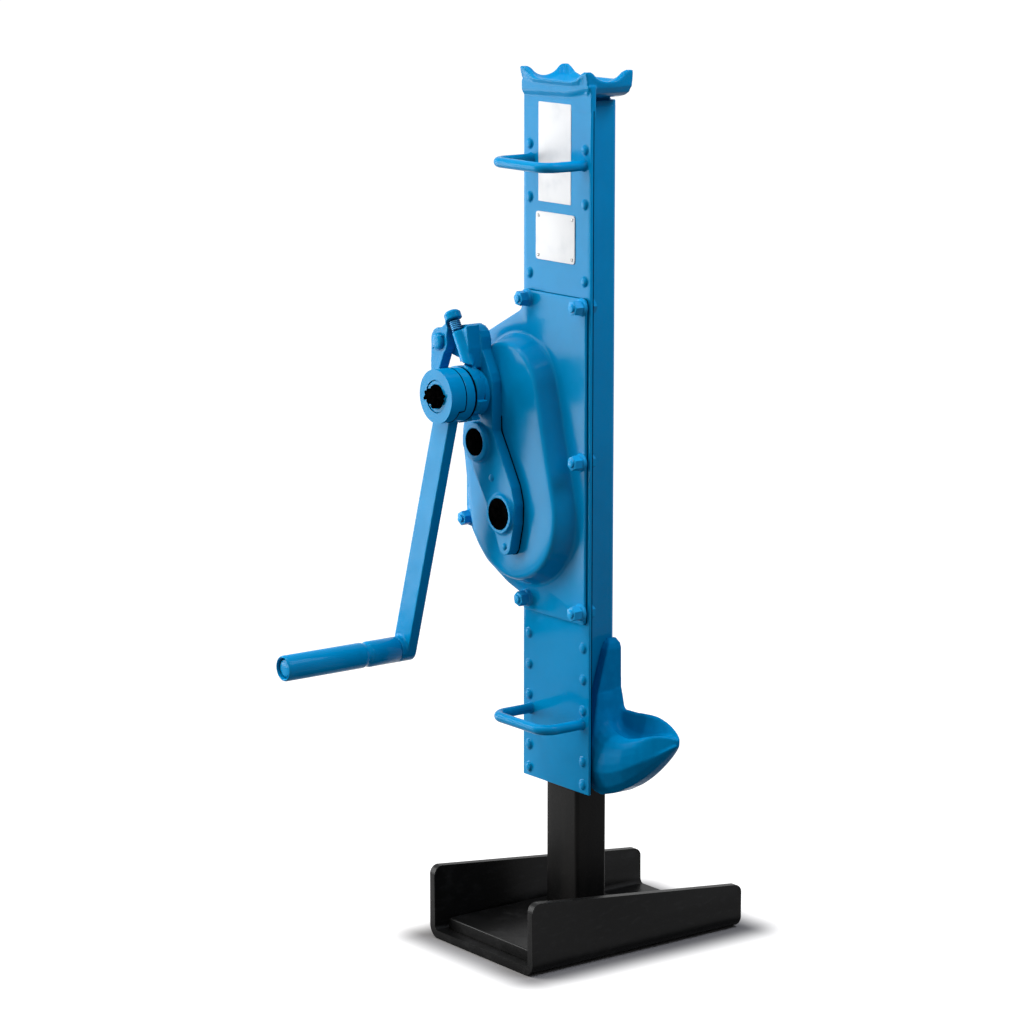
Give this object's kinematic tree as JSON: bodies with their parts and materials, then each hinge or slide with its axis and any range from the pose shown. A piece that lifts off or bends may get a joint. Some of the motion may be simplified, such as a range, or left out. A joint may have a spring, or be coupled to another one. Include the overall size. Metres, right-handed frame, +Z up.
{
  "type": "rack jack",
  "caption": "Crank-driven steel rack jack: a geared housing with a horned load head and a side lifting claw climbs a toothed bar on a channel-shaped base.",
  "frame": {"origin": "on the underside of the base channel, below the axis of the rack", "axes": "+Z up along the rack, +X towards the lifting claw, -Y towards the gear cover and the crank"},
  "size_m": [0.3169, 0.3872, 0.863],
  "materials": {
    "blue_paint": "gloss",
    "base_black": "satin",
    "rack_black": "satin",
    "plate_white": "satin",
    "cap_black": "satin",
    "spring_steel": "satin",
    "gear_steel": "satin",
    "bush_bronze": "satin",
    "lining": "matte"
  },
  "bodies": {
    "base": {"base_channel": "base_black", "foot_plate": "base_black", "toothed_rack": "rack_black", "rack_weld": "base_black"},
    "housing": {"housing_body": "blue_paint", "front_plate": "blue_paint", "lower_rack_guide": "blue_paint", "pinion_backing_pad": "bush_bronze", "plate_rivets": "blue_paint", "rating_plate": "plate_white", "upper_carry_handle": "blue_paint", "lower_carry_handle": "blue_paint", "head_saddle": "blue_paint", "lifting_claw": "blue_paint", "gear_cover": "blue_paint", "gear_case_rear": "blue_paint", "bearing_bracket": "blue_paint", "shaft_bushes": "bush_bronze", "shaft_end_caps": "cap_black", "cover_bolts": "blue_paint", "cover_nuts": "blue_paint", "bracket_rivets": "blue_paint", "pawl_pin": "blue_paint", "pawl_spring": "spring_steel"},
    "crank": {"crank_shaft": "gear_steel", "crank_arm": "blue_paint", "brake_nut": "blue_paint", "castle_nut": "cap_black", "brake_linings": "lining", "grip_pin": "blue_paint"},
    "grip": {"crank_grip": "blue_paint"},
    "ratchet": {"ratchet_wheel": "blue_paint"},
    "pawl": {"pawl": "blue_paint"},
    "middle_drive": {"middle_shaft": "gear_steel", "middle_gear": "gear_steel"},
    "main_drive": {"rack_pinion_shaft": "gear_steel", "main_gear": "gear_steel"}
  },
  "joints": [
    {"name": "lift", "type": "slide", "parent": "base", "child": "housing", "axis": [0, 0, 1], "range_m": [-0.092, 0.258]},
    {"name": "crank_turn", "type": "hinge", "parent": "housing", "child": "crank", "pos_m": [-0.07912, 0, 0.5452], "axis": [0, 1, 0], "range_deg": [-2521.3, 7070.8]},
    {"name": "middle_shaft_turn", "type": "hinge", "parent": "housing", "child": "middle_drive", "pos_m": [-0.08017, 0, 0.49521], "axis": [0, 1, 0], "range_deg": [-3030.4, 1080.6]},
    {"name": "rack_pinion_turn", "type": "hinge", "parent": "housing", "child": "main_drive", "pos_m": [-0.041, 0, 0.4295], "axis": [0, 1, 0], "range_deg": [-263.6, 739.2]},
    {"name": "ratchet_turn", "type": "hinge", "parent": "housing", "child": "ratchet", "pos_m": [-0.07912, 0, 0.5452], "axis": [0, 1, 0], "range_deg": [0, 40]},
    {"name": "pawl_swing", "type": "hinge", "parent": "housing", "child": "pawl", "pos_m": [-0.11512, 0, 0.5925], "axis": [0, 1, 0], "range_deg": [0, 8.6], "deforming": ["pawl_spring"]},
    {"name": "grip_turn", "type": "hinge", "parent": "crank", "child": "grip", "pos_m": [-0.1579, 0, 0.27755], "axis": [0, 1, 0], "continuous": true}
  ],
  "couplings": [
    {"joint": "lift", "follows": "crank_turn", "m_per_rad": 0.0020906},
    {"joint": "middle_shaft_turn", "follows": "crank_turn", "ratio": -0.42857},
    {"joint": "rack_pinion_turn", "follows": "crank_turn", "ratio": 0.10453},
    {"joint": "pawl_swing", "follows": "ratchet_turn", "ratio": 0.215}
  ]
}
